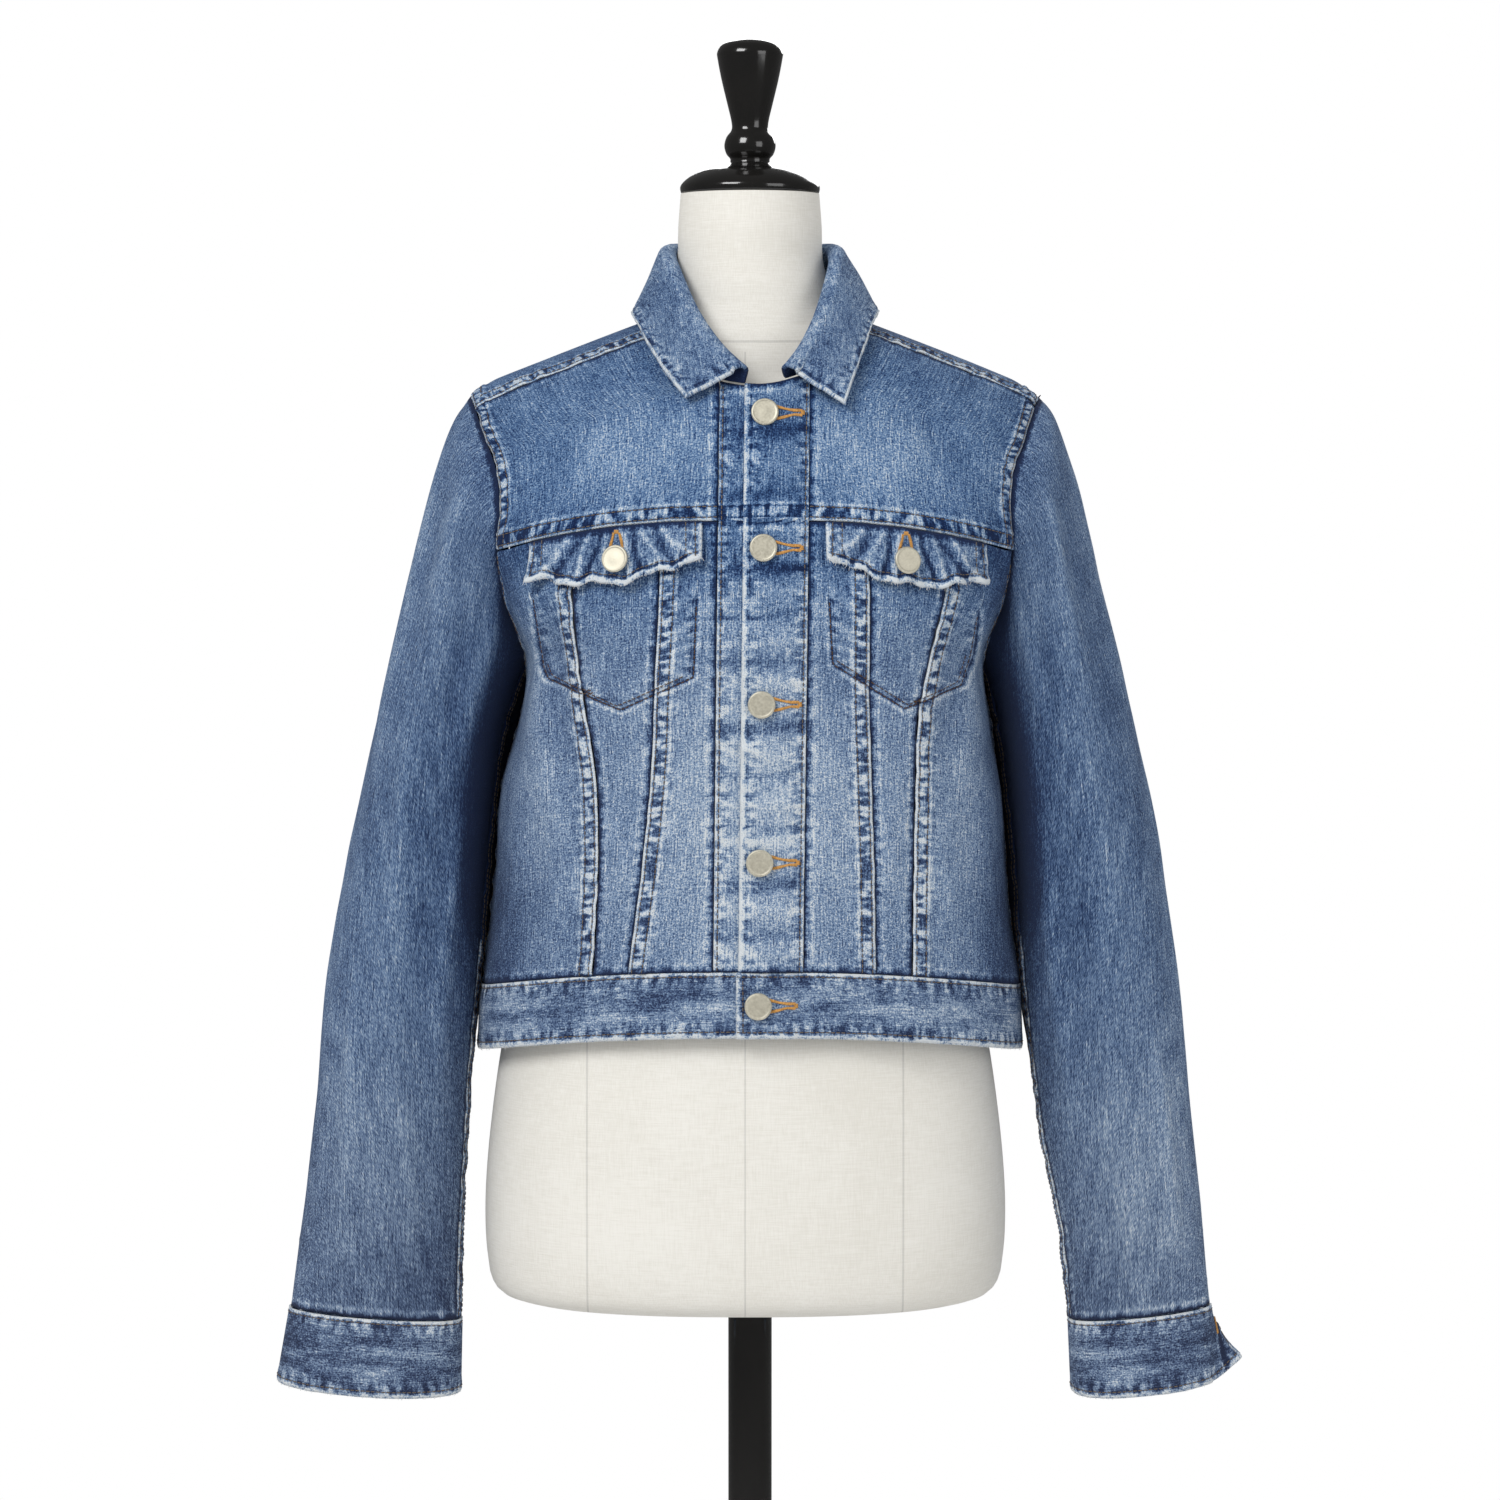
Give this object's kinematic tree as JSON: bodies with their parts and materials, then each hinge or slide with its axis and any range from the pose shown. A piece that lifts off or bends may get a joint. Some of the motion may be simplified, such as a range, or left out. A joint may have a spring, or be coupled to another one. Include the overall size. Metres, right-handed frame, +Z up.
{
  "type": "denim jacket on a limbless dress form with stand",
  "caption": "Cropped denim trucker jacket, buttoned up on a linen dress form with a turned black neck cap and finial, black pole and round base.",
  "frame": {"origin": "centre of the underside of the stand's base, on the floor, on the pole's axis", "axes": "+Z up along the pole, -Y towards the jacket's buttoned front, +X towards the wearer's left"},
  "size_m": [0.6196, 0.3382, 1.54],
  "materials": {
    "denim": "washed mid-blue denim, pale along worn edges and seams, matte",
    "pocket_cotton": "thin off-white cotton",
    "button_metal": "plain pale nickel with a worn satin face",
    "form_linen": "off-white linen stretched smooth",
    "black_turned": "turned wood in glossy black lacquer",
    "black_stand": "glossy black paint"
  },
  "bodies": {
    "root": {"back_centre": "denim", "back_side_left": "denim", "back_side_right": "denim", "back_yoke": "denim", "button_cuff_left": "button_metal", "button_cuff_right": "button_metal", "button_flap_left": "button_metal", "button_flap_right": "button_metal", "button_placket_1": "button_metal", "button_placket_2": "button_metal", "button_placket_3": "button_metal", "button_placket_4": "button_metal", "button_waistband": "button_metal", "collar": "denim", "cuff_left": "denim", "cuff_right": "denim", "form_base": "black_stand", "form_finial": "black_turned", "form_neck_cap": "black_turned", "form_pole": "black_stand", "form_torso": "form_linen", "front_centre_left": "denim", "front_centre_right": "denim", "front_middle_left": "denim", "front_middle_right": "denim", "front_side_left": "denim", "front_side_right": "denim", "front_yoke_left": "denim", "front_yoke_right": "denim", "placket_under": "denim", "placket_upper": "denim", "pocket_bag_left": "pocket_cotton", "pocket_bag_right": "pocket_cotton", "pocket_flap_left": "denim", "pocket_flap_right": "denim", "sleeve_under_left": "denim", "sleeve_under_right": "denim", "sleeve_upper_left": "denim", "sleeve_upper_right": "denim", "waistband": "denim"}
  },
  "joints": []
}
